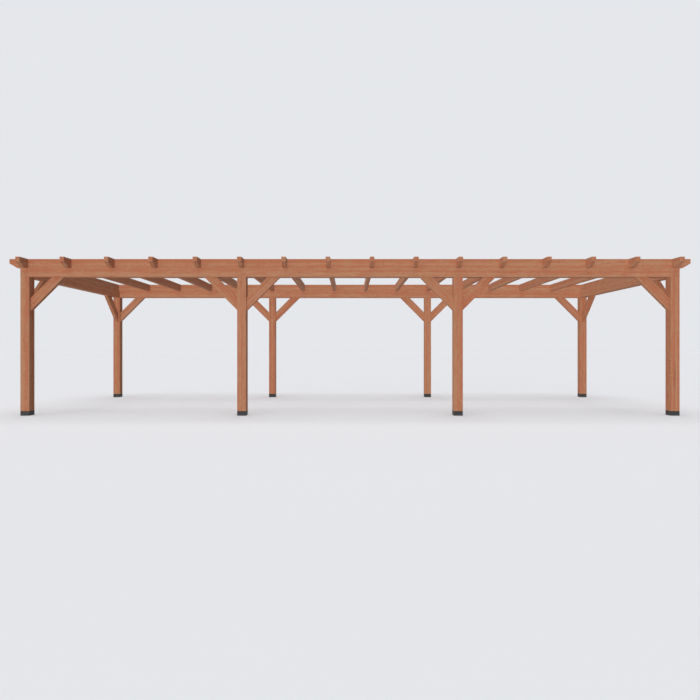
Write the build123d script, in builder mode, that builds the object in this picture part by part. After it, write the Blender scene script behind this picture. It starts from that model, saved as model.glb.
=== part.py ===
"""Timber patio cover.

Two rows of four posts stand in steel shoes and carry a ring of beams. A top beam lies along the front
and along the back of the ring, and rafters with tapered tips are cross-halved into both top beams.
X runs along the cover, Y from front to back and Z up. The origin is on the ground, at the centre.
"""

import os
from math import radians, sqrt, tan

from build123d import *

# Driving sizes, in millimetres and degrees

POST_SIDE = 145
POST_PITCH = 3500
ROW_SPACING = 3400
CLEAR_HEIGHT = 2240

BEAM_DEPTH = 145
BEAM_OVERHANG = 250

RAFTER_THICKNESS = 70
RAFTER_OVERHANG = 300
RAFTER_COUNT = 16
END_RAFTER_INSET = 20

TIP_ANGLE = 30
NOSE_SHARE = 0.5
LAP_SHARE = 0.5
LAP_CLEARANCE = 0.5

BRACE_THICKNESS = 70
BRACE_DEPTH = 145
BRACE_LEG = 540

SHOE_HEIGHT = 75
SHOE_WALL = 5
SHOE_CLEARANCE = 1

CUT_OVERRUN = 10

# Beams are as wide as the posts, so their faces lie flush, and rafters finish level with the top beams

BEAM_WIDTH = POST_SIDE
RAFTER_DEPTH = BEAM_DEPTH

# Places that follow from the driving sizes

COLUMN_NAMES = ("left_end", "left_middle", "right_middle", "right_end")
LAST_COLUMN = len(COLUMN_NAMES) - 1
END_POST_X = POST_PITCH * LAST_COLUMN / 2
COLUMNS = {name: POST_PITCH * index - END_POST_X for index, name in enumerate(COLUMN_NAMES)}
ROWS = {"front": -ROW_SPACING / 2, "back": ROW_SPACING / 2}
SIDES = {"left": -END_POST_X, "right": END_POST_X}

RING_TOP = CLEAR_HEIGHT + BEAM_DEPTH
LAP_SEAT = RING_TOP + BEAM_DEPTH * LAP_SHARE
END_RAFTER_X = END_POST_X - END_RAFTER_INSET
RAFTER_PITCH = 2 * END_RAFTER_X / (RAFTER_COUNT - 1)
FOOT_SIDE = POST_SIDE - 2 * (SHOE_WALL + SHOE_CLEARANCE)
BRACE_INNER_LEG = BRACE_LEG - BRACE_DEPTH * sqrt(2)

os.makedirs("parts", exist_ok=True)


def save(piece, name):
    """Label a finished piece and write it as its own file."""
    piece.part.label = name
    export_step(piece.part, f"parts/{name}.step")


def tapered_half(half_length, depth):
    """Corners of half a timber's side view, from the ring up: a taper below, then an upright nose."""
    nose_bottom = depth * (1 - NOSE_SHARE)
    taper_run = nose_bottom / tan(radians(TIP_ANGLE))
    return (
        (0, RING_TOP),
        (half_length - taper_run, RING_TOP),
        (half_length, RING_TOP + nose_bottom),
        (half_length, RING_TOP + depth),
        (0, RING_TOP + depth),
    )


def brace_corners(post_centre, direction):
    """Corners of a 45 degree brace: one end lies on the post's face, the other under the beam."""
    face = post_centre + direction * POST_SIDE / 2
    return (
        (face, CLEAR_HEIGHT - BRACE_LEG),
        (face + direction * BRACE_LEG, CLEAR_HEIGHT),
        (face + direction * BRACE_INNER_LEG, CLEAR_HEIGHT),
        (face, CLEAR_HEIGHT - BRACE_INNER_LEG),
    )


# Shoes: open-topped steel cups, flush with the posts' faces

for row_name, row_y in ROWS.items():
    for column_name, column_x in COLUMNS.items():
        with BuildPart() as shoe:
            with BuildSketch(Plane((column_x, row_y, 0))):
                Rectangle(POST_SIDE, POST_SIDE)
            extrude(amount=SHOE_HEIGHT)
            offset(amount=-SHOE_WALL, openings=shoe.faces().sort_by(Axis.Z)[-1])
        save(shoe, f"shoe_{row_name}_{column_name}")

# Posts: the foot is cut down on four sides to stand inside the shoe

for row_name, row_y in ROWS.items():
    for column_name, column_x in COLUMNS.items():
        with BuildPart() as post:
            with BuildSketch(Plane((column_x, row_y, SHOE_WALL))):
                Rectangle(FOOT_SIDE, FOOT_SIDE)
            extrude(amount=SHOE_HEIGHT - SHOE_WALL)
            with BuildSketch(Plane((column_x, row_y, SHOE_HEIGHT))):
                Rectangle(POST_SIDE, POST_SIDE)
            extrude(amount=CLEAR_HEIGHT - SHOE_HEIGHT)
        save(post, f"post_{row_name}_{column_name}")

# Side beams: over the corner posts, from the front row's outer face to the back row's

for side_name, side_x in SIDES.items():
    with BuildPart() as side_beam:
        with BuildSketch(Plane((side_x, 0, CLEAR_HEIGHT))):
            Rectangle(BEAM_WIDTH, ROW_SPACING + BEAM_WIDTH)
        extrude(amount=BEAM_DEPTH)
    save(side_beam, f"side_beam_{side_name}")

# Ring beams: along each row, between the side beams

for row_name, row_y in ROWS.items():
    with BuildPart() as ring_beam:
        with BuildSketch(Plane((0, row_y, CLEAR_HEIGHT))):
            Rectangle(2 * END_POST_X - BEAM_WIDTH, BEAM_WIDTH)
        extrude(amount=BEAM_DEPTH)
    save(ring_beam, f"ring_beam_{row_name}")

# Top beams: tapered tips, and a notch down to half depth for each rafter

for row_name, row_y in ROWS.items():
    with BuildPart() as top_beam:
        with BuildSketch(Plane.XZ.offset(-row_y)):
            with BuildLine():
                Polyline(*tapered_half(END_POST_X + BEAM_OVERHANG, BEAM_DEPTH))
                mirror(about=Plane.YZ)
            make_face()
            with Locations((0, LAP_SEAT)):
                with GridLocations(RAFTER_PITCH, 0, RAFTER_COUNT, 1):
                    Rectangle(
                        RAFTER_THICKNESS + 2 * LAP_CLEARANCE,
                        BEAM_DEPTH * (1 - LAP_SHARE) + CUT_OVERRUN,
                        align=(Align.CENTER, Align.MIN),
                        mode=Mode.SUBTRACT,
                    )
        extrude(amount=BEAM_WIDTH / 2, both=True)
    save(top_beam, f"top_beam_{row_name}")

# Rafters: tapered tips, and a notch from below where each one drops over a top beam

for index in range(RAFTER_COUNT):
    with BuildPart() as rafter:
        with BuildSketch(Plane.YZ.offset(RAFTER_PITCH * index - END_RAFTER_X)):
            with BuildLine():
                Polyline(*tapered_half(ROW_SPACING / 2 + RAFTER_OVERHANG, RAFTER_DEPTH))
                mirror(about=Plane.YZ)
            make_face()
            with Locations((0, LAP_SEAT)):
                with GridLocations(ROW_SPACING, 0, len(ROWS), 1):
                    Rectangle(
                        BEAM_WIDTH + 2 * LAP_CLEARANCE,
                        BEAM_DEPTH * LAP_SHARE + CUT_OVERRUN,
                        align=(Align.CENTER, Align.MAX),
                        mode=Mode.SUBTRACT,
                    )
        extrude(amount=RAFTER_THICKNESS / 2, both=True)
    save(rafter, f"rafter_{index + 1:02d}")

# Braces: along the rows, from every post towards each neighbour in its row

ROW_BRACES = [(x, 1) for x in COLUMNS.values() if x < END_POST_X]
ROW_BRACES += [(x, -1) for x in COLUMNS.values() if x > -END_POST_X]

for row_name, row_y in ROWS.items():
    with BuildPart() as row_braces:
        with BuildSketch(Plane.XZ.offset(-row_y)):
            for post_x, direction in ROW_BRACES:
                with BuildLine():
                    Polyline(*brace_corners(post_x, direction), close=True)
                make_face()
        extrude(amount=BRACE_THICKNESS / 2, both=True)
    save(row_braces, f"{row_name}_braces")

# Braces at the sides: from each corner post inwards, under the side beam

SIDE_BRACES = [(ROWS["front"], 1), (ROWS["back"], -1)]

for side_name, side_x in SIDES.items():
    with BuildPart() as side_braces:
        with BuildSketch(Plane.YZ.offset(side_x)):
            for post_y, direction in SIDE_BRACES:
                with BuildLine():
                    Polyline(*brace_corners(post_y, direction), close=True)
                make_face()
        extrude(amount=BRACE_THICKNESS / 2, both=True)
    save(side_braces, f"{side_name}_braces")
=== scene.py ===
"""Looks of a timber patio cover: oiled timbers with their own grain, black steel shoes and screws."""

import math
import random

import bmesh
import bpy
from mathutils import Color, Matrix, Vector


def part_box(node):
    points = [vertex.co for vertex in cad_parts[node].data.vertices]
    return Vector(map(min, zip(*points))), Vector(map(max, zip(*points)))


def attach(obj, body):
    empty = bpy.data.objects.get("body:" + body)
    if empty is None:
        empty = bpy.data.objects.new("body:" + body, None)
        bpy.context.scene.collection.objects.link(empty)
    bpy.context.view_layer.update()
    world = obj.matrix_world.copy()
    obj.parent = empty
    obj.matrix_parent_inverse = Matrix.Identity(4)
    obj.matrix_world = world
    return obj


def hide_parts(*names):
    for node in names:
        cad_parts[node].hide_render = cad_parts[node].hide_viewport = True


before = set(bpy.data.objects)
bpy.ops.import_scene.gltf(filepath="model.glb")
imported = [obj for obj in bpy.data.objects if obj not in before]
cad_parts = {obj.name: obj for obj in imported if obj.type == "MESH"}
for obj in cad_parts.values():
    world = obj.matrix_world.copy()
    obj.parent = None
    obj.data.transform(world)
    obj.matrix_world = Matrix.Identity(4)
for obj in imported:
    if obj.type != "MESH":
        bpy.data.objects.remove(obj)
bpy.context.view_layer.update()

# Nodes by kind, the body that pieces take, and places read from the frame

NODES = sorted(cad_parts)
SHOES = [name for name in NODES if name.startswith("shoe_")]
TIMBERS = [name for name in NODES if name not in SHOES]
RAFTERS = [name for name in NODES if name.startswith("rafter_")]
TOP_BEAMS = [name for name in NODES if name.startswith("top_beam_")]
RING_BEAMS = [name for name in NODES if name.startswith("ring_beam_")]
SIDE_BEAMS = [name for name in NODES if name.startswith("side_beam_")]
BRACE_SETS = [name for name in NODES if name.endswith("_braces")]
ROOT = "root"

TOP_BEAM_LOW, TOP_BEAM_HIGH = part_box("top_beam_front")
LAP_SEAT = (TOP_BEAM_LOW.z + TOP_BEAM_HIGH.z) / 2
ROOF_TOP = TOP_BEAM_HIGH.z
ROW_FACE = -TOP_BEAM_LOW.y
END_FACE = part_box("side_beam_right")[1].x

# Sizes that the looks add, in metres

ARRIS = 0.003
SHOE_EDGE = 0.002

POCKET_RADIUS = 0.011
POCKET_DEPTH = 0.012
LAP_SCREW_SPREAD = 0.038
BEAM_SCREW_SPREAD = 0.07
BEAM_SCREW_OFFSET = 0.034
BRACE_SCREW_REACHES = (0.085, 0.125)
BRACE_SCREW_OFFSET = 0.015
SHOE_SCREW_SPREAD = 0.036
CORNER_SCREW_SPREAD = 0.036

# Screw heads: sizes in metres, a seed for their turns, and the width of each step as a share of the last

SCREW_INPUTS = {
    "Flange Radius": 0.0085,
    "Flange Height": 0.0014,
    "Head Height": 0.0022,
    "Drive Depth": 0.0024,
    "Seed": 7,
}
HEAD_SHARE = 0.62
CROWN_SHARE = 0.8
DRIVE_SHARE = 0.62

# How finely round things are divided

ARRIS_STEPS = 2
ROUND_PROFILE = 0.5
POCKET_SIDES = 20
SCREW_SIDES = 12

# How faces and edges are told apart: a weld in metres, digits, an angle, cosines, and the grain's sense

WELD = 1e-5
LENGTH_DIGITS = 5
FLAT = math.radians(1)
ALONG_GRAIN = 0.99
UPRIGHT = 0.9
END_FACING = 0.8
BRACE_UNDERSIDE = (-0.8, -0.6)
GRAIN_SENSE = Vector((1.0, 1.3, 1.7))

# Growth of the timber, in metres: where the heart of the tree lies, and its rings and knots

HEART_IN_POST = 0.03
HEART_BESIDE_PLANK = 0.08
GRAIN_SHIFT = 40.0
GRAIN_WANDER = 0.005
RING_WIDTH = 0.0065
KNOT_RADIUS = 0.013
KNOT_REACH = 0.07
KNOT_BOW = 0.011

# Growth of the timber: metres of lean a metre, knots a metre, ring widths of drift, a power, and shares

HEART_LEAN = 0.003
KNOT_ROWS = 1.0
RING_DRIFT = 3.0
RING_CURVE = 2.2
KNOT_CORE_SHARE = 0.6
PLANK_SHARE = 0.8
TINT_RANGE = 0.06

# Figure of the timber, in cycles a metre: along the grain and twice across it, and then in any direction

BEND_RATE = (0.45, 4.0, 4.0)
STREAK_RATE = (0.045, 19.0, 19.0)
STRIPE_RATE = (5.0, 30.0, 30.0)
RIPPLE_RATE = (30.0, 17.0, 17.0)
PATCH_RATE = (6.0, 9.0, 9.0)
FEATHER_RATE = (7.0, 160.0, 160.0)
FIBRE_RATE = (9.0, 420.0, 420.0)
CHECK_RATE = (1.1, 22.0, 22.0)
RING_UNEVEN_RATE = 60.0
OIL_RATE = 2.5
DUST_RATE = 14.0
RUB_RATE = 90.0

# Directions: the ripple's turn in radians, and the two axes across the grain

RIPPLE_TURN = (0.0, 0.5, 0.65)
ACROSS_GRAIN = (0.0, 1.0, 1.0)

# Noises: octaves, roughness, how much finer specks are than patches, and the middle of every noise

STREAK_DETAIL = 3.0
STREAK_ROUGHNESS = 0.55
FIBRE_ROUGHNESS = 0.6
MOTTLE_DETAIL = 3.0
SPECK_FINENESS = 60.0
RUB_FINENESS = 12.0
CHECK_FINENESS = 1.6
NOISE_MIDDLE = 0.5

# Ranges: where an effect starts and where it is full, or for the dust, metres above the ground

RISING = (0.0, 1.0)
FALLING = (1.0, 0.0)
STREAK_RANGE = (0.3, 0.7)
RIPPLE_RANGE = (0.35, 0.65)
PATCH_RANGE = (0.42, 0.66)
FIBRE_RANGE = (0.3, 0.7)
SPECK_RANGE = (0.3, 0.7)
MOTTLE_RANGE = (0.35, 0.65)
CHECK_LINE_RANGE = (0.004, 0.018)
CHECK_SLANT_RANGE = (0.2, 0.45)
CHECK_RARE_RANGE = (0.56, 0.68)
DUST_RANGE = (0.0, 0.05)

# How strongly each effect shows: spans of redness, shade and dust, and shares

STREAK_REDNESS = (0.11, 1.07)
PATCH_SPAN = (0.2, 1.0)
FIBRE_SHADE = (0.94, 1.06)
DUST_SPAN = (0.45, 0.0)
STRIPE_SHARE = 0.6
FEATHER_SHARE = 0.6
RIPPLE_SHARE = 0.7
OIL_SHARE = 0.06
SIDE_RING_SHARE = 0.36
END_RING_SHARE = 0.48
KNOT_SHARE = 0.65
WORN_SHARE = 0.3
CHECK_SHARE = 0.7

# Gloss, and relief in metres

TIMBER_ROUGHNESS = (0.92, 0.82)
END_ROUGHNESS = 0.06
COAT_ROUGHNESS = 0.6
DUST_ROUGHNESS = 0.3
SCREW_ROUGHNESS = (0.38, 0.55)
SCREW_METALLIC = 0.7
MATT_SPECULAR = 0.1
TIMBER_RELIEF = 0.0006
TIMBER_BUMP_SHARE = 0.5
FIBRE_RELIEF_SHARE = 0.5
CHECK_RELIEF_SHARE = -4.0
COAT_RELIEF = 0.0004
COAT_BUMP_SHARE = 0.25

# Colours, as sRGB of 0 to 255

SRGB_WHITE = 255
TAN_WOOD = (184, 139, 108)
RED_WOOD = (180, 116, 86)
LATE_WOOD = (160, 96, 68)
KNOT_WOOD = (152, 90, 63)
END_WOOD = (164, 98, 70)
CHECK_LINE = (92, 58, 44)
SHOE_BLACK = (64, 66, 67)
SHOE_DUST = (88, 86, 83)
SCREW_BLACK = (62, 61, 60)
BACKDROP = (229, 231, 235)
FLOOR_BOUNCE = (172, 172, 172)
WHITE_LIGHT = (255, 255, 255)
WARM_LIGHT = (255, 246, 245)

# Camera, in metres, in pixels of the square photograph, and in millimetres of sensor

CAMERA_PLACE = (0.0, -10.424, 1.0607)
CAMERA_TILT = math.radians(90)
PHOTO_SIDE = 700
FOCAL_PIXELS = 535.9
SENSOR = 36.0

# Light: a soft key and a warm level fill from the front left, a fill from behind, a top light and a sky

KEY_AZIMUTH = math.radians(33.5)
KEY_HEIGHT = math.radians(25)
KEY_STRENGTH = 0.12
FILL_HEIGHT = math.radians(1)
FILL_STRENGTH = 2.21
BACK_AZIMUTH = math.radians(180)
BACK_STRENGTH = 0.9
TOP_HEIGHT = math.radians(90)
TOP_STRENGTH = 2.25
LIGHT_SPREAD = math.radians(50)
SKY_STRENGTH = 0.17

# Floor, in metres

FLOOR_SIDE = 800.0


def linear(colour):
    """An sRGB colour of 0 to 255 as linear red, green, blue and alpha."""
    return (*Color(channel / SRGB_WHITE for channel in colour).from_srgb_to_scene_linear(), 1.0)


def centre(node):
    """The middle of a node's box."""
    low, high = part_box(node)
    return (low + high) / 2


# Node helpers


def feed(tree, node, inputs):
    """Link or set each named or numbered input of a node."""
    for key, value in inputs.items():
        if isinstance(value, bpy.types.NodeSocket):
            tree.links.new(value, node.inputs[key])
        else:
            node.inputs[key].default_value = value
    return node


def add_node(tree, kind, inputs=None, **settings):
    """Add a node, set its options and feed its inputs."""
    node = tree.nodes.new(kind)
    for option, value in settings.items():
        setattr(node, option, value)
    return feed(tree, node, inputs or {})


def calculate(tree, operation, *values, clamp=False):
    """The result of one Math node."""
    inputs = dict(enumerate(values))
    return add_node(tree, "ShaderNodeMath", inputs, operation=operation, use_clamp=clamp).outputs[0]


def vector(tree, operation, *values):
    """The vector result of one Vector Math node."""
    inputs = dict(enumerate(values))
    return add_node(tree, "ShaderNodeVectorMath", inputs, operation=operation).outputs["Vector"]


def length(tree, value):
    """The length of a vector."""
    return add_node(tree, "ShaderNodeVectorMath", {0: value}, operation="LENGTH").outputs["Value"]


def combine(tree, **axes):
    """A vector from its X, Y and Z."""
    return add_node(tree, "ShaderNodeCombineXYZ", axes).outputs[0]


def separate(tree, value, axis):
    """One of a vector's X, Y and Z."""
    return add_node(tree, "ShaderNodeSeparateXYZ", {0: value}).outputs[axis]


def remap(tree, value, given, wanted=RISING):
    """A value taken smoothly from one range to another."""
    inputs = {
        "Value": value, "From Min": given[0], "From Max": given[1], "To Min": wanted[0], "To Max": wanted[1],
    }
    return add_node(tree, "ShaderNodeMapRange", inputs, interpolation_type="SMOOTHSTEP").outputs["Result"]


def mix(tree, share, first, second, blend="MIX"):
    """Two colours mixed by a share. Inputs 6 and 7 and output 2 are the node's colours."""
    node = add_node(tree, "ShaderNodeMix", data_type="RGBA", blend_type=blend)
    return feed(tree, node, {0: share, 6: first, 7: second}).outputs[2]


def noise(tree, place, scale=1.0, detail=2.0, roughness=0.5):
    """The value of a noise texture."""
    inputs = {"Vector": place, "Scale": scale, "Detail": detail, "Roughness": roughness}
    return add_node(tree, "ShaderNodeTexNoise", inputs).outputs["Fac"]


def swing(tree, value):
    """How far a noise lies above or below its middle."""
    return calculate(tree, "SUBTRACT", value, NOISE_MIDDLE)


def voronoi(tree, place, output, **settings):
    """One output of a Voronoi texture."""
    inputs = {"Vector": place, "Scale": 1.0}
    return add_node(tree, "ShaderNodeTexVoronoi", inputs, **settings).outputs[output]


def new_group(name, inputs, outputs):
    """A shader node group with named sockets. Returns its tree, its inputs and its output node."""
    tree = bpy.data.node_groups.new(name, "ShaderNodeTree")
    for socket, kind, value in inputs:
        made = tree.interface.new_socket(socket, in_out="INPUT", socket_type=kind)
        if value is not None:
            made.default_value = value
    for socket in outputs:
        tree.interface.new_socket(socket, in_out="OUTPUT", socket_type="NodeSocketFloat")
    source = tree.nodes.new("NodeGroupInput")
    target = tree.nodes.new("NodeGroupOutput")
    return tree, source.outputs, target


def use_group(tree, group, inputs):
    """Place a shader node group in a material and feed its inputs."""
    node = tree.nodes.new("ShaderNodeGroup")
    node.node_tree = group
    return feed(tree, node, inputs).outputs


def new_material(name):
    """A material with a bare shader. Returns it, its tree and its shader."""
    material = bpy.data.materials.new(name)
    material.use_nodes = True
    tree = material.node_tree
    tree.nodes.clear()
    shader = tree.nodes.new("ShaderNodeBsdfPrincipled")
    output = tree.nodes.new("ShaderNodeOutputMaterial")
    tree.links.new(shader.outputs["BSDF"], output.inputs["Surface"])
    return material, tree, shader


def attribute(tree, name, output):
    """One output of a piece's own attribute."""
    return add_node(tree, "ShaderNodeAttribute", attribute_name=name).outputs[output]


def object_place(tree):
    """A place on a piece, in the frame that all the pieces share."""
    return tree.nodes.new("ShaderNodeTexCoord").outputs["Object"]


def bump(tree, shader, height, strength, distance):
    """Raise a shader's surface by a height."""
    inputs = {"Strength": strength, "Distance": distance, "Height": height}
    normal = add_node(tree, "ShaderNodeBump", inputs).outputs["Normal"]
    tree.links.new(normal, shader.inputs["Normal"])


# Shared effects


def stretch(tree, grain, rate):
    """Grain coordinates in cycles along the grain and across it."""
    return vector(tree, "MULTIPLY", grain, rate)


def slanted(tree, grain, rate, turn):
    """Grain coordinates in cycles, turned so that a pattern lies at a slant to the grain."""
    inputs = {"Vector": grain, "Scale": rate, "Rotation": turn}
    return add_node(tree, "ShaderNodeMapping", inputs).outputs["Vector"]


def wandering(tree, grain, reach):
    """Grain coordinates that bend slowly, as a trunk does."""
    inputs = {"Vector": stretch(tree, grain, BEND_RATE), "Scale": 1.0}
    bend = add_node(tree, "ShaderNodeTexNoise", inputs).outputs["Color"]
    bend = vector(tree, "SUBTRACT", bend, (NOISE_MIDDLE, NOISE_MIDDLE, NOISE_MIDDLE))
    return vector(tree, "MULTIPLY_ADD", bend, combine(tree, Y=reach, Z=reach), grain)


def knot_distance(tree, grain, flat, radius, rows):
    """How far the nearest branch is, in metres. Branches run straight out from the heart."""
    outward = vector(tree, "NORMALIZE", flat)
    cells = vector(tree, "MULTIPLY_ADD", grain, combine(tree, X=rows), outward)
    away = vector(tree, "SUBTRACT", cells, voronoi(tree, cells, "Position"))
    to_metres = combine(tree, X=calculate(tree, "DIVIDE", 1.0, rows), Y=radius, Z=radius)
    return length(tree, vector(tree, "MULTIPLY", away, to_metres))


def growth_rings(tree, radius, width):
    """Rings that darken slowly outwards and then drop back."""
    uneven = noise(tree, combine(tree, X=radius), RING_UNEVEN_RATE)
    phase = calculate(tree, "DIVIDE", radius, width)
    phase = calculate(tree, "MULTIPLY_ADD", uneven, RING_DRIFT, phase)
    return calculate(tree, "POWER", calculate(tree, "FRACT", phase), RING_CURVE)


def streak_figure(tree, grain):
    """Long red streaks with shorter stripes over them."""
    place = stretch(tree, grain, STREAK_RATE)
    streaks = noise(tree, place, detail=STREAK_DETAIL, roughness=STREAK_ROUGHNESS)
    stripes = swing(tree, noise(tree, stretch(tree, grain, STRIPE_RATE)))
    streaks = calculate(tree, "MULTIPLY_ADD", stripes, STRIPE_SHARE, streaks)
    return remap(tree, streaks, STREAK_RANGE, STREAK_REDNESS)


def ripple_figure(tree, grain):
    """Ripple across the grain, feathered along it and stronger in patches."""
    feather = swing(tree, noise(tree, stretch(tree, grain, FEATHER_RATE)))
    ripple = noise(tree, slanted(tree, grain, RIPPLE_RATE, RIPPLE_TURN))
    ripple = remap(tree, calculate(tree, "MULTIPLY_ADD", feather, FEATHER_SHARE, ripple), RIPPLE_RANGE)
    patches = remap(tree, noise(tree, stretch(tree, grain, PATCH_RATE)), PATCH_RANGE, PATCH_SPAN)
    return calculate(tree, "MULTIPLY", swing(tree, ripple), patches)


def drying_checks(tree, grain):
    """Thin cracks in a few places only: the borders between long cells, where they run along the grain."""
    place = stretch(tree, grain, CHECK_RATE)
    border = voronoi(tree, place, "Distance", feature="DISTANCE_TO_EDGE")
    line = remap(tree, border, CHECK_LINE_RANGE, FALLING)
    nearest = voronoi(tree, place, "Position", feature="F1")
    second = voronoi(tree, place, "Position", feature="F2")
    over_border = vector(tree, "NORMALIZE", vector(tree, "SUBTRACT", second, nearest))
    slant = calculate(tree, "ABSOLUTE", separate(tree, over_border, "X"))
    straight = remap(tree, slant, CHECK_SLANT_RANGE, FALLING)
    rare = remap(tree, noise(tree, stretch(tree, grain, BEND_RATE), CHECK_FINENESS), CHECK_RARE_RANGE)
    return calculate(tree, "MULTIPLY", calculate(tree, "MULTIPLY", line, straight), rare)


def grain_figure_group():
    """Rings that bow round knots, streaks, ripple, fibres and checks, from coordinates along the grain."""
    tree, given, made = new_group(
        "Grain figure",
        [
            ("Grain", "NodeSocketVector", None),
            ("Ring Width", "NodeSocketFloat", RING_WIDTH),
            ("Wander", "NodeSocketFloat", GRAIN_WANDER),
            ("Knot Rows", "NodeSocketFloat", KNOT_ROWS),
            ("Knot Radius", "NodeSocketFloat", KNOT_RADIUS),
        ],
        ["Rings", "Knots", "Streaks", "Ripple", "Fibres", "Checks"],
    )
    grain = wandering(tree, given["Grain"], given["Wander"])
    flat = vector(tree, "MULTIPLY", grain, ACROSS_GRAIN)
    radius = length(tree, flat)
    knot = knot_distance(tree, grain, flat, radius, given["Knot Rows"])
    bow = remap(tree, knot, (0.0, KNOT_REACH), (KNOT_BOW, 0.0))
    core = calculate(tree, "MULTIPLY", given["Knot Radius"], KNOT_CORE_SHARE)
    feed(tree, made, {
        "Rings": growth_rings(tree, calculate(tree, "ADD", radius, bow), given["Ring Width"]),
        "Knots": remap(tree, knot, (core, given["Knot Radius"]), FALLING),
        "Streaks": streak_figure(tree, grain),
        "Ripple": ripple_figure(tree, grain),
        "Fibres": noise(tree, stretch(tree, grain, FIBRE_RATE), roughness=FIBRE_ROUGHNESS),
        "Checks": drying_checks(tree, grain),
    })
    return tree


def mottle_group():
    """Broad soft patches and fine specks over a surface, such as uneven oil or settled dust."""
    tree, given, made = new_group(
        "Mottle",
        [
            ("Place", "NodeSocketVector", None),
            ("Rate", "NodeSocketFloat", OIL_RATE),
            ("Fineness", "NodeSocketFloat", SPECK_FINENESS),
        ],
        ["Patches", "Specks"],
    )
    broad = noise(tree, given["Place"], given["Rate"], detail=MOTTLE_DETAIL)
    fine = calculate(tree, "MULTIPLY", given["Rate"], given["Fineness"])
    feed(tree, made, {
        "Patches": remap(tree, broad, MOTTLE_RANGE),
        "Specks": noise(tree, given["Place"], fine),
    })
    return tree


GRAIN_FIGURE = grain_figure_group()
MOTTLE = mottle_group()

# Materials


def tinted(tree, mask, share, first, second):
    """A colour taken towards another by a share of a mask."""
    return mix(tree, calculate(tree, "MULTIPLY", mask, share), first, linear(second))


def oiled_timber():
    """Planed softwood under red-brown oil, with rings on its cut ends and thin oil on its arrises."""
    material, tree, shader = new_material("Oiled timber")
    grain = attribute(tree, "grain", "Vector")
    figure = use_group(tree, GRAIN_FIGURE, {"Grain": grain})
    mottle = use_group(tree, MOTTLE, {"Place": grain, "Rate": OIL_RATE})
    end = attribute(tree, "end_grain", "Fac")

    redness = calculate(tree, "ADD", figure["Streaks"], attribute(tree, "tint", "Fac"))
    redness = calculate(tree, "MULTIPLY_ADD", figure["Ripple"], RIPPLE_SHARE, redness)
    uneven = swing(tree, mottle["Patches"])
    redness = calculate(tree, "MULTIPLY_ADD", uneven, OIL_SHARE, redness, clamp=True)
    base = mix(tree, redness, linear(TAN_WOOD), linear(RED_WOOD))
    side_colour = tinted(tree, figure["Rings"], SIDE_RING_SHARE, base, LATE_WOOD)
    end_colour = tinted(tree, figure["Rings"], END_RING_SHARE, base, END_WOOD)
    colour = mix(tree, end, side_colour, end_colour)
    colour = tinted(tree, figure["Knots"], KNOT_SHARE, colour, KNOT_WOOD)
    colour = tinted(tree, attribute(tree, "arris", "Fac"), WORN_SHARE, colour, TAN_WOOD)
    fibre = remap(tree, figure["Fibres"], FIBRE_RANGE, FIBRE_SHADE)
    colour = mix(tree, 1.0, colour, combine(tree, X=fibre, Y=fibre, Z=fibre), "MULTIPLY")
    colour = tinted(tree, figure["Checks"], CHECK_SHARE, colour, CHECK_LINE)
    tree.links.new(colour, shader.inputs["Base Color"])

    rough = remap(tree, figure["Rings"], RISING, TIMBER_ROUGHNESS)
    rough = calculate(tree, "MULTIPLY_ADD", end, END_ROUGHNESS, rough)
    tree.links.new(rough, shader.inputs["Roughness"])
    shader.inputs["Specular IOR Level"].default_value = MATT_SPECULAR

    relief = calculate(tree, "MULTIPLY_ADD", figure["Fibres"], FIBRE_RELIEF_SHARE, figure["Rings"])
    relief = calculate(tree, "MULTIPLY_ADD", figure["Checks"], CHECK_RELIEF_SHARE, relief)
    bump(tree, shader, relief, TIMBER_BUMP_SHARE, TIMBER_RELIEF)
    return material


def powder_coat():
    """Matt black powder coat on steel, dusty towards the ground."""
    material, tree, shader = new_material("Black powder coat")
    place = object_place(tree)
    mottle = use_group(tree, MOTTLE, {"Place": place, "Rate": DUST_RATE})
    low = remap(tree, separate(tree, place, "Z"), DUST_RANGE, DUST_SPAN)
    dust = calculate(tree, "MULTIPLY", low, mottle["Patches"])
    colour = mix(tree, dust, linear(SHOE_BLACK), linear(SHOE_DUST))
    tree.links.new(colour, shader.inputs["Base Color"])
    rough = calculate(tree, "MULTIPLY_ADD", dust, DUST_ROUGHNESS, COAT_ROUGHNESS)
    tree.links.new(rough, shader.inputs["Roughness"])
    shader.inputs["Specular IOR Level"].default_value = MATT_SPECULAR
    bump(tree, shader, mottle["Specks"], COAT_BUMP_SHARE, COAT_RELIEF)
    return material


def black_screw_steel():
    """Blackened screw steel, rubbed a little where the driver turned it."""
    material, tree, shader = new_material("Black screw steel")
    inputs = {"Place": object_place(tree), "Rate": RUB_RATE, "Fineness": RUB_FINENESS}
    mottle = use_group(tree, MOTTLE, inputs)
    colour = mix(tree, mottle["Patches"], linear(SCREW_BLACK), linear(SHOE_DUST))
    tree.links.new(colour, shader.inputs["Base Color"])
    rough = remap(tree, mottle["Specks"], SPECK_RANGE, SCREW_ROUGHNESS)
    tree.links.new(rough, shader.inputs["Roughness"])
    shader.inputs["Metallic"].default_value = SCREW_METALLIC
    return material


OILED_TIMBER = oiled_timber()
POWDER_COAT = powder_coat()
SCREW_STEEL = black_screw_steel()

# Screws: places and the way they face


def lap_pockets(rafter):
    """Screw places on a rafter's top: a pair over each top beam."""
    x = centre(rafter).x
    rows = [centre(beam).y for beam in TOP_BEAMS]
    return [Vector((x, y + side * LAP_SCREW_SPREAD, ROOF_TOP)) for y in rows for side in (-1, 1)]


def beam_pockets(beam):
    """Screw places on a top beam's top: a staggered pair between neighbouring rafters."""
    y = centre(beam).y
    places = []
    for first, second in zip(RAFTERS, RAFTERS[1:]):
        x = (centre(first).x + centre(second).x) / 2
        for side in (-1, 1):
            places.append(Vector((x + side * BEAM_SCREW_SPREAD, y + side * BEAM_SCREW_OFFSET, ROOF_TOP)))
    return places


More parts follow.
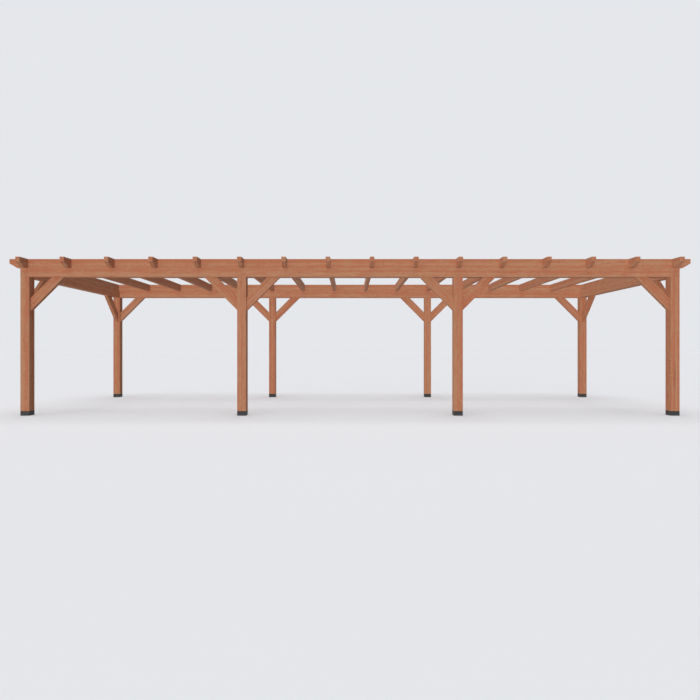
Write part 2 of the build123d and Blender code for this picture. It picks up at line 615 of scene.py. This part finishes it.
def sunk_screws(places):
    """Screws at the bottom of pockets, facing up."""
    return [(place - Vector((0, 0, POCKET_DEPTH)), Vector((0, 0, 1))) for place in places]


def brace_screws(node):
    """Screws on the underside of each brace: a staggered pair near both ends."""
    shape = merged_copy(node)
    lowest, highest = BRACE_UNDERSIDE
    undersides = [face for face in shape.faces if lowest < face.normal.z < highest]
    screws = []
    for face in undersides:
        corners = sorted((vert.co for vert in face.verts), key=lambda corner: corner.z)
        ends = ((corners[0] + corners[1]) / 2, (corners[2] + corners[3]) / 2)
        across = (corners[1] - corners[0]).normalized()
        for end, other in (ends, ends[::-1]):
            along = (other - end).normalized()
            for reach, side in zip(BRACE_SCREW_REACHES, (-1, 1)):
                place = end + along * reach + across * side * BRACE_SCREW_OFFSET
                screws.append((place.copy(), face.normal.copy()))
    shape.free()
    return screws


def side_screws(node, y, z_places, y_offsets, sides):
    """Screws on the faces of a node that look along X."""
    low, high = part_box(node)
    faces = {-1: low.x, 1: high.x}
    return [
        (Vector((faces[side], y + offset, z)), Vector((side, 0, 0)))
        for side in sides for z in z_places for offset in y_offsets
    ]


def shoe_screws(shoe):
    """Screws through both sides of a shoe into the post's foot."""
    middle = centre(shoe)
    return side_screws(shoe, middle.y, [middle.z], [-SHOE_SCREW_SPREAD, SHOE_SCREW_SPREAD], [-1, 1])


def corner_screws(side_beam):
    """Screws through a side beam into the ends of both ring beams."""
    middle = centre(side_beam)
    heights = [middle.z - CORNER_SCREW_SPREAD, middle.z + CORNER_SCREW_SPREAD]
    outward = math.copysign(1, middle.x)
    return [
        screw for ring_beam in RING_BEAMS
        for screw in side_screws(side_beam, centre(ring_beam).y, heights, [0], [outward])
    ]


def screw_head(tree, given):
    """The mesh of one flanged head with a sunk drive, standing on the origin."""
    flange = add_node(tree, "GeometryNodeMeshCylinder", {
        "Vertices": SCREW_SIDES, "Radius": given["Flange Radius"], "Depth": given["Flange Height"],
    })
    lift = combine(tree, Z=calculate(tree, "DIVIDE", given["Flange Height"], 2.0))
    inputs = {"Geometry": flange.outputs["Mesh"], "Translation": lift}
    head = add_node(tree, "GeometryNodeTransform", inputs).outputs[0]
    top = flange.outputs["Top"]
    drop = calculate(tree, "MULTIPLY", given["Drive Depth"], -1.0)
    steps = ((0.0, HEAD_SHARE), (given["Head Height"], CROWN_SHARE), (0.0, DRIVE_SHARE), (drop, 1.0))
    for rise, share in steps:
        inputs = {"Mesh": head, "Selection": top, "Offset Scale": rise}
        step = add_node(tree, "GeometryNodeExtrudeMesh", inputs).outputs
        top = step["Top"]
        inputs = {"Geometry": step["Mesh"], "Selection": top, "Scale": share}
        head = add_node(tree, "GeometryNodeScaleElements", inputs).outputs[0]
    return head


def screw_head_tree():
    """Geometry Nodes that set a screw head on every point, along its facing and turned by chance.

    Inputs 2 and 3 and output 1 of the random value are its decimal ones.
    """
    tree = bpy.data.node_groups.new("Screw heads", "GeometryNodeTree")
    new_socket = tree.interface.new_socket
    new_socket("Points", in_out="INPUT", socket_type="NodeSocketGeometry")
    for name, value in SCREW_INPUTS.items():
        kind = "NodeSocketInt" if isinstance(value, int) else "NodeSocketFloat"
        new_socket(name, in_out="INPUT", socket_type=kind)
    new_socket("Material", in_out="INPUT", socket_type="NodeSocketMaterial")
    new_socket("Heads", in_out="OUTPUT", socket_type="NodeSocketGeometry")
    given = tree.nodes.new("NodeGroupInput").outputs
    made = tree.nodes.new("NodeGroupOutput")

    named = add_node(tree, "GeometryNodeInputNamedAttribute", {"Name": "facing"}, data_type="FLOAT_VECTOR")
    inputs = {"Vector": named.outputs["Attribute"]}
    facing = add_node(tree, "FunctionNodeAlignRotationToVector", inputs, axis="Z").outputs[0]
    chance = add_node(tree, "FunctionNodeRandomValue", {2: 0.0, 3: math.tau, "Seed": given["Seed"]})
    inputs = {"Rotation": facing, "Rotate By": combine(tree, Z=chance.outputs[1])}
    turned = add_node(tree, "FunctionNodeRotateRotation", inputs, rotation_space="LOCAL").outputs[0]
    inputs = {"Points": given["Points"], "Instance": screw_head(tree, given), "Rotation": turned}
    heads = add_node(tree, "GeometryNodeInstanceOnPoints", inputs).outputs[0]
    solid = add_node(tree, "GeometryNodeRealizeInstances", {"Geometry": heads}).outputs[0]
    inputs = {"Geometry": solid, "Material": given["Material"]}
    finished = add_node(tree, "GeometryNodeSetMaterial", inputs).outputs[0]
    tree.links.new(finished, made.inputs["Heads"])
    return tree


SCREW_HEADS = screw_head_tree()

# Pieces


def new_object(name, mesh):
    """An object in the scene that holds a mesh."""
    item = bpy.data.objects.new(name, mesh)
    bpy.context.scene.collection.objects.link(item)
    return item


def evaluated_mesh(item):
    """A plain mesh of an object with its modifiers applied."""
    graph = bpy.context.evaluated_depsgraph_get()
    return bpy.data.meshes.new_from_object(item.evaluated_get(graph))


def merged_copy(node):
    """A CAD node's shape with its loose triangles joined into whole faces."""
    shape = bmesh.new()
    shape.from_mesh(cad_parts[node].data)
    bmesh.ops.remove_doubles(shape, verts=shape.verts, dist=WELD)
    bmesh.ops.dissolve_limit(shape, angle_limit=FLAT, verts=shape.verts, edges=shape.edges)
    shape.edges.index_update()
    return shape


def islands(shape):
    """The separate timbers in a shape, each as a list of its vertices."""
    left = dict.fromkeys(shape.verts)
    found = []
    while left:
        stack = [left.popitem()[0]]
        timber = []
        while stack:
            vert = stack.pop()
            timber.append(vert)
            near = [edge.other_vert(vert) for edge in vert.link_edges]
            fresh = [other for other in near if other in left]
            for other in fresh:
                del left[other]
            stack += fresh
        found.append(timber)
    return found


def grain_axes(timber):
    """Unit vectors along a timber's grain, which is its longest edge, and across it."""
    edges = {edge for vert in timber for edge in vert.link_edges}
    longest = max(edges, key=lambda edge: (round(edge.calc_length(), LENGTH_DIGITS), -edge.index))
    along = (longest.verts[1].co - longest.verts[0].co).normalized()
    if along.dot(GRAIN_SENSE) < 0:
        along.negate()
    aside = Vector((0, 1, 0)) if abs(along.z) > UPRIGHT else Vector((0, 0, 1))
    across = aside.cross(along).normalized()
    return along, across, along.cross(across)


def round_edges(shape, edges, reach):
    """Round some edges of a shape, and return the new faces."""
    return bmesh.ops.bevel(
        shape, geom=edges, offset=reach, offset_type="OFFSET", segments=ARRIS_STEPS,
        profile=ROUND_PROFILE, affect="EDGES", clamp_overlap=True,
    )["faces"]


def is_arris(edge, along, tips):
    """True for an edge to ease: along the grain and clear of a notch's seat, or at a tapered tip."""
    first, second = (vert.co for vert in edge.verts)
    if not edge.is_convex:
        return False
    if abs((second - first).normalized().dot(along)) > ALONG_GRAIN:
        return max(abs(first.z - LAP_SEAT), abs(second.z - LAP_SEAT)) > ARRIS
    return min(abs(first.dot(along)), abs(second.dot(along))) > tips


def ease_arrises(shape, tips):
    """Round the long edges and the tips of every timber in a shape, and mark the new faces."""
    mark = shape.faces.layers.float.new("arris")
    edges = []
    for timber in islands(shape):
        along = grain_axes(timber)[0]
        edges += {edge for vert in timber for edge in vert.link_edges if is_arris(edge, along, tips)}
    edges.sort(key=lambda edge: edge.index)
    rounded = round_edges(shape, edges, ARRIS)
    for face in shape.faces:
        face[mark] = 0.0
    for face in rounded:
        face[mark] = 1.0


def sink_pockets(shape, places):
    """Cut round pockets for screw heads into the top of a timber."""
    cutter = bmesh.new()
    for place in places:
        bmesh.ops.create_cone(
            cutter, cap_ends=True, segments=POCKET_SIDES, radius1=POCKET_RADIUS, radius2=POCKET_RADIUS,
            depth=2 * POCKET_DEPTH, matrix=Matrix.Translation(place),
        )
    holders = []
    for name, source in (("timber_blank", shape), ("pocket_cutter", cutter)):
        mesh = bpy.data.meshes.new(name)
        source.to_mesh(mesh)
        holders.append(new_object(name, mesh))
    cutter.free()
    cut = holders[0].modifiers.new("Pockets", "BOOLEAN")
    cut.object = holders[1]
    cut.solver = "EXACT"
    result = evaluated_mesh(holders[0])
    for holder in holders:
        bpy.data.objects.remove(holder)
    shape.clear()
    shape.from_mesh(result)
    shape.edges.index_update()


def write_grain(shape, node):
    """Give each timber its own grain coordinates, marked ends and tint."""
    grain = shape.verts.layers.float_vector.new("grain")
    end = shape.faces.layers.float.new("end_grain")
    tint = shape.faces.layers.float.new("tint")
    chance = random.Random(node)
    for timber in islands(shape):
        along, across, up = grain_axes(timber)
        lowest = Vector(min(vert.co.dot(axis) for vert in timber) for axis in (along, across, up))
        highest = Vector(max(vert.co.dot(axis) for vert in timber) for axis in (along, across, up))
        middle = (lowest + highest) / 2
        size = highest - lowest
        heart_across = chance.uniform(-HEART_IN_POST, HEART_IN_POST)
        heart_up = chance.uniform(-HEART_IN_POST, HEART_IN_POST)
        beside = chance.choice((-HEART_BESIDE_PLANK, HEART_BESIDE_PLANK))
        if size.y < size.z * PLANK_SHARE:
            heart_across += beside
        lean_across = chance.uniform(-HEART_LEAN, HEART_LEAN)
        lean_up = chance.uniform(-HEART_LEAN, HEART_LEAN)
        shift = chance.uniform(0, GRAIN_SHIFT)
        shade = chance.uniform(-TINT_RANGE, TINT_RANGE)
        for vert in timber:
            run = vert.co.dot(along) - middle.x
            vert[grain] = (
                run + shift,
                vert.co.dot(across) - middle.y - heart_across - lean_across * run,
                vert.co.dot(up) - middle.z - heart_up - lean_up * run,
            )
        for face in {face for vert in timber for face in vert.link_faces}:
            face[end] = 1.0 if abs(face.normal.dot(along)) > END_FACING else 0.0
            face[tint] = shade


def to_piece(shape, name, material, node):
    """Turn a shape into a piece that rides on the frame and stands for its CAD node."""
    mesh = bpy.data.meshes.new(name)
    shape.to_mesh(mesh)
    shape.free()
    mesh.materials.append(material)
    piece = new_object(name, mesh)
    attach(piece, ROOT)
    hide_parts(node)


def make_timber(node):
    """One planed timber, or one node's set of braces, with eased edges and its own grain."""
    shape = merged_copy(node)
    if node in RAFTERS:
        ease_arrises(shape, ROW_FACE + ARRIS)
        sink_pockets(shape, lap_pockets(node))
    elif node in TOP_BEAMS:
        ease_arrises(shape, END_FACE + ARRIS)
        sink_pockets(shape, beam_pockets(node))
    else:
        ease_arrises(shape, math.inf)
    write_grain(shape, node)
    to_piece(shape, f"oiled_{node}", OILED_TIMBER, node)


def make_shoe(node):
    """One steel shoe with softened outer edges."""
    shape = merged_copy(node)
    round_edges(shape, [edge for edge in shape.edges if edge.is_convex], SHOE_EDGE)
    to_piece(shape, f"coated_{node}", POWDER_COAT, node)


def set_screws(name, screws):
    """One piece of screw heads, from their places and facings."""
    points = bpy.data.meshes.new(name)
    points.from_pydata([place for place, facing in screws], [], [])
    facings = points.attributes.new("facing", "FLOAT_VECTOR", "POINT")
    facings.data.foreach_set("vector", [share for place, facing in screws for share in facing])
    piece = new_object(name, points)
    modifier = piece.modifiers.new("Screw heads", "NODES")
    modifier.node_group = SCREW_HEADS
    sockets = {item.name: item.identifier for item in SCREW_HEADS.interface.items_tree}
    for socket, value in SCREW_INPUTS.items():
        modifier[sockets[socket]] = value
    modifier[sockets["Material"]] = SCREW_STEEL
    heads = evaluated_mesh(piece)
    piece.modifiers.remove(modifier)
    piece.data = heads
    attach(piece, ROOT)


for timber_node in TIMBERS:
    make_timber(timber_node)
for shoe_node in SHOES:
    make_shoe(shoe_node)
set_screws("lap_screws", [screw for rafter in RAFTERS for screw in sunk_screws(lap_pockets(rafter))])
set_screws("beam_screws", [screw for beam in TOP_BEAMS for screw in sunk_screws(beam_pockets(beam))])
set_screws("brace_screws", [screw for braces in BRACE_SETS for screw in brace_screws(braces)])
set_screws("shoe_screws", [screw for shoe in SHOES for screw in shoe_screws(shoe)])
set_screws("corner_screws", [screw for beam in SIDE_BEAMS for screw in corner_screws(beam)])

# Stage, light and camera


def seen_share(tree):
    """One where a surface is seen, directly or in a reflection, and nought where it only gives light."""
    path = tree.nodes.new("ShaderNodeLightPath").outputs
    share = calculate(tree, "MAXIMUM", path["Is Camera Ray"], path["Is Transmission Ray"])
    return calculate(tree, "MAXIMUM", share, path["Is Glossy Ray"])


def seen_or_lit(tree, seen, lit, output):
    """Put out one shader where a surface is seen, and another where it only gives light."""
    inputs = {0: seen_share(tree), 1: lit.outputs[0], 2: seen.outputs[0]}
    both = add_node(tree, "ShaderNodeMixShader", inputs).outputs[0]
    tree.links.new(both, tree.nodes.new(output).inputs["Surface"])


def make_floor():
    """A wide pale floor that keeps the shadow and blends into the backdrop."""
    half = FLOOR_SIDE / 2
    mesh = bpy.data.meshes.new("floor")
    corners = [(-half, -half, 0), (half, -half, 0), (half, half, 0), (-half, half, 0)]
    mesh.from_pydata(corners, [], [(0, 1, 2, 3)])
    new_object("floor", mesh)

    material = bpy.data.materials.new("Pale floor")
    material.use_nodes = True
    tree = material.node_tree
    tree.nodes.clear()
    seen = add_node(tree, "ShaderNodeBsdfDiffuse", {"Color": linear(BACKDROP)})
    lit = add_node(tree, "ShaderNodeBsdfDiffuse", {"Color": linear(FLOOR_BOUNCE)})
    seen_or_lit(tree, seen, lit, "ShaderNodeOutputMaterial")
    mesh.materials.append(material)


def make_sky():
    """An even sky: pale where it is seen, dimmer where it only lights the timber."""
    world = bpy.data.worlds.new("Even sky")
    bpy.context.scene.world = world
    world.use_nodes = True
    tree = world.node_tree
    tree.nodes.clear()
    seen = add_node(tree, "ShaderNodeBackground", {"Color": linear(BACKDROP), "Strength": 1.0})
    lit = add_node(tree, "ShaderNodeBackground", {"Color": linear(WHITE_LIGHT), "Strength": SKY_STRENGTH})
    seen_or_lit(tree, seen, lit, "ShaderNodeOutputWorld")


def make_sun(name, azimuth, height, strength, colour=WHITE_LIGHT, shadow=True):
    """A soft distant light. Azimuth is turned from the front towards the left."""
    light = bpy.data.lights.new(name, "SUN")
    light.energy = strength
    light.color = linear(colour)[:3]
    light.angle = LIGHT_SPREAD
    light.use_shadow = shadow
    lamp = bpy.data.objects.new(name, light)
    towards = Vector((
        -math.sin(azimuth) * math.cos(height), -math.cos(azimuth) * math.cos(height), math.sin(height),
    ))
    lamp.rotation_euler = towards.to_track_quat("Z", "Y").to_euler()
    bpy.context.scene.collection.objects.link(lamp)


def make_camera():
    """A level camera at the photograph's place."""
    camera = bpy.data.cameras.new("camera")
    camera.sensor_fit = "HORIZONTAL"
    camera.sensor_width = SENSOR
    camera.lens = SENSOR * FOCAL_PIXELS / PHOTO_SIDE
    camera.clip_end = FLOOR_SIDE
    holder = bpy.data.objects.new("camera", camera)
    holder.location = CAMERA_PLACE
    holder.rotation_euler = (CAMERA_TILT, 0, 0)
    bpy.context.scene.collection.objects.link(holder)
    bpy.context.scene.camera = holder


make_floor()
make_sky()
make_sun("key light", KEY_AZIMUTH, KEY_HEIGHT, KEY_STRENGTH)
make_sun("level fill", KEY_AZIMUTH, FILL_HEIGHT, FILL_STRENGTH, WARM_LIGHT, shadow=False)
make_sun("back fill", BACK_AZIMUTH, 0.0, BACK_STRENGTH, shadow=False)
make_sun("top light", 0.0, TOP_HEIGHT, TOP_STRENGTH)
make_camera()
bpy.context.scene.view_settings.view_transform = "Standard"
